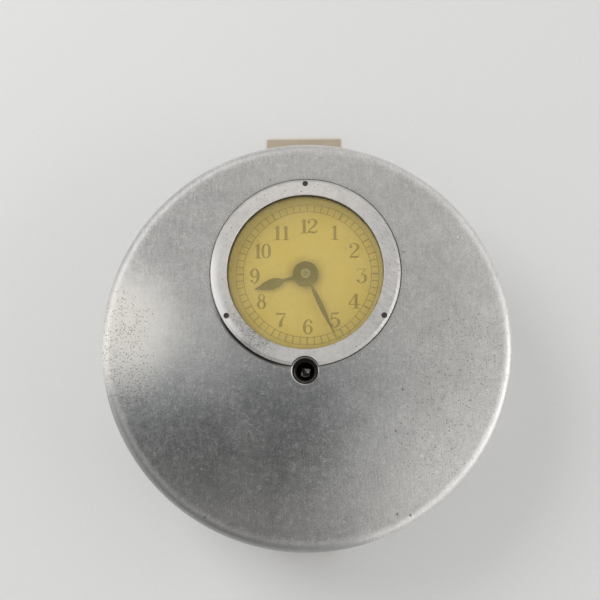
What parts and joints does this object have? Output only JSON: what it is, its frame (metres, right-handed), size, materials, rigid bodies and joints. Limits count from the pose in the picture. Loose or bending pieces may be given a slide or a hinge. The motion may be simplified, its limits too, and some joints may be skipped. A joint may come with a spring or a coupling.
{
  "type": "watchman clock",
  "caption": "Round metal watchman clock with an offset dial, a key socket, a strap loop and a hinged locking back over a paper chart.",
  "frame": {"origin": "centre of the flat back face, which the clock lies on", "axes": "+Z out of the dial, +Y towards twelve o'clock and the strap loop, +X to the viewer's right"},
  "size_m": [0.127, 0.1378, 0.0394],
  "materials": {
    "cast_aluminium": "satin cloudy casting with pits and scratches",
    "turned_aluminium": "turned and worn",
    "worn_nickel": "worn plate with brass showing at the edges",
    "green_felt": "dense felt",
    "brass": "satin",
    "gilt_brass": "frosted gilt",
    "steel": "satin",
    "dark_steel": "oxidised",
    "blued_steel": "blued",
    "aged_crystal": "yellowed and faintly scratched",
    "dial_paper": "aged printed card",
    "chart_paper": "printed paper"
  },
  "bodies": {
    "case": {"front_case": "cast_aluminium", "case_wall": "cast_aluminium", "case_bosses": "cast_aluminium", "hinge_leaf_case": "brass", "hinge_pin": "steel", "hinge_screws": "steel", "lock_catch": "steel", "strap_loop": "worn_nickel", "strap_screws": "steel", "bezel_ring": "turned_aluminium", "bezel_screws": "dark_steel", "crystal": "aged_crystal", "dial_ring": "dial_paper", "dial_plate": "dial_paper", "key_bush": "steel", "spindle_bridge": "brass", "spindle_spring": "blued_steel", "lever_stud": "steel", "lever_spring": "blued_steel", "main_plate": "brass", "main_plate_screws": "steel", "chart_stud": "steel", "stud_screw": "steel", "movement_back_plate": "gilt_brass", "movement_front_plate": "gilt_brass", "movement_pillars": "brass", "movement_screws": "blued_steel", "click_spring": "steel", "hairspring": "blued_steel"},
    "cover": {"back_cover": "cast_aluminium", "cover_felt_ring": "green_felt", "hinge_leaf_cover": "brass", "cover_leaf_screws": "steel", "lock_housing": "brass"},
    "lock": {"lock_plug": "brass", "lock_cam": "steel"},
    "spindle": {"key_spindle": "steel", "marking_cam": "steel"},
    "lever": {"marking_lever": "steel", "marking_stylus": "steel"},
    "chart": {"chart_wheel": "brass", "chart_carrier": "turned_aluminium", "paper_chart": "chart_paper", "chart_nut": "brass"},
    "minute_group": {"minute_hand": "blued_steel", "cannon_pinion": "steel"},
    "hour_group": {"hour_hand": "blued_steel", "hour_wheel": "brass"},
    "minute_gear": {"minute_wheel": "brass"},
    "barrel_drum": {"barrel": "brass", "mainspring": "blued_steel"},
    "winding_group": {"winding_arbor": "steel", "ratchet_wheel": "steel"},
    "click_pawl": {"click": "steel"},
    "centre_gear": {"centre_wheel": "brass"},
    "third_gear": {"third_wheel": "brass"},
    "fourth_gear": {"fourth_wheel": "brass"},
    "escape_gear": {"escape_wheel": "brass"},
    "fork": {"pallet_fork": "steel"},
    "balance": {"balance_wheel": "gilt_brass"}
  },
  "joints": [
    {"name": "cover_hinge", "type": "hinge", "parent": "case", "child": "cover", "pos_m": [0, -0.064, 0.0017], "axis": [-1, 0, 0], "range_deg": [0, 110]},
    {"name": "lock_turn", "type": "hinge", "parent": "cover", "child": "lock", "pos_m": [0, 0.0525, 0], "axis": [0, 0, 1], "range_deg": [0, 90]},
    {"name": "key_turn", "type": "hinge", "parent": "case", "child": "spindle", "pos_m": [0, -0.0095, 0], "axis": [0, 0, -1], "range_deg": [0, 90], "stiffness_Nm_per_rad": 0.004, "deforming": ["spindle_spring"]},
    {"name": "lever_swing", "type": "hinge", "parent": "case", "child": "lever", "pos_m": [-0.025, -0.0185, 0], "axis": [0, 0, -1], "range_deg": [0, 10], "deforming": ["lever_spring"]},
    {"name": "chart_spin", "type": "hinge", "parent": "case", "child": "chart", "pos_m": [0, 0, 0], "axis": [0, 0, -1], "continuous": true},
    {"name": "minute_spin", "type": "hinge", "parent": "case", "child": "minute_group", "pos_m": [0, 0.0214, 0], "axis": [0, 0, -1], "continuous": true},
    {"name": "hour_spin", "type": "hinge", "parent": "case", "child": "hour_group", "pos_m": [0, 0.0214, 0], "axis": [0, 0, -1], "continuous": true},
    {"name": "minute_wheel_spin", "type": "hinge", "parent": "case", "child": "minute_gear", "pos_m": [-0.00956, 0.02692, 0], "axis": [0, 0, -1], "continuous": true},
    {"name": "third_spin", "type": "hinge", "parent": "case", "child": "third_gear", "pos_m": [0.00694, 0.01313, 0], "axis": [0, 0, -1], "continuous": true},
    {"name": "centre_spin", "type": "hinge", "parent": "case", "child": "centre_gear", "pos_m": [0, 0.0214, 0], "axis": [0, 0, -1], "continuous": true},
    {"name": "barrel_spin", "type": "hinge", "parent": "case", "child": "barrel_drum", "pos_m": [0.0046, 0.03403, 0], "axis": [0, 0, -1], "continuous": true},
    {"name": "fourth_spin", "type": "hinge", "parent": "case", "child": "fourth_gear", "pos_m": [-0.0013, 0.00837, 0], "axis": [0, 0, -1], "continuous": true},
    {"name": "escape_spin", "type": "hinge", "parent": "case", "child": "escape_gear", "pos_m": [-0.00943, 0.0098, 0], "axis": [0, 0, -1], "continuous": true},
    {"name": "winding_spin", "type": "hinge", "parent": "case", "child": "winding_group", "pos_m": [0.0046, 0.03403, 0], "axis": [0, 0, -1], "continuous": true},
    {"name": "click_lift", "type": "hinge", "parent": "case", "child": "click_pawl", "pos_m": [0.01366, 0.03243, 0], "axis": [0, 0, -1], "range_deg": [0, 12]},
    {"name": "balance_swing", "type": "hinge", "parent": "case", "child": "balance", "pos_m": [-0.01575, 0.02138, 0], "axis": [0, 0, -1], "range_deg": [-120, 120], "deforming": ["hairspring"]},
    {"name": "fork_swing", "type": "hinge", "parent": "case", "child": "fork", "pos_m": [-0.01316, 0.01424, 0], "axis": [0, 0, -1], "range_deg": [-4, 4]}
  ],
  "couplings": [
    {"joint": "lever_swing", "follows": "key_turn", "ratio": 0.11111},
    {"joint": "minute_spin", "follows": "chart_spin", "ratio": 24},
    {"joint": "hour_spin", "follows": "chart_spin", "ratio": 2},
    {"joint": "minute_wheel_spin", "follows": "chart_spin", "ratio": -8},
    {"joint": "centre_spin", "follows": "third_spin", "ratio": -0.125},
    {"joint": "barrel_spin", "follows": "third_spin", "ratio": 0.020833},
    {"joint": "fourth_spin", "follows": "third_spin", "ratio": -7.5},
    {"joint": "escape_spin", "follows": "third_spin", "ratio": 75},
    {"joint": "fork_swing", "follows": "balance_swing", "ratio": -0.033333}
  ]
}
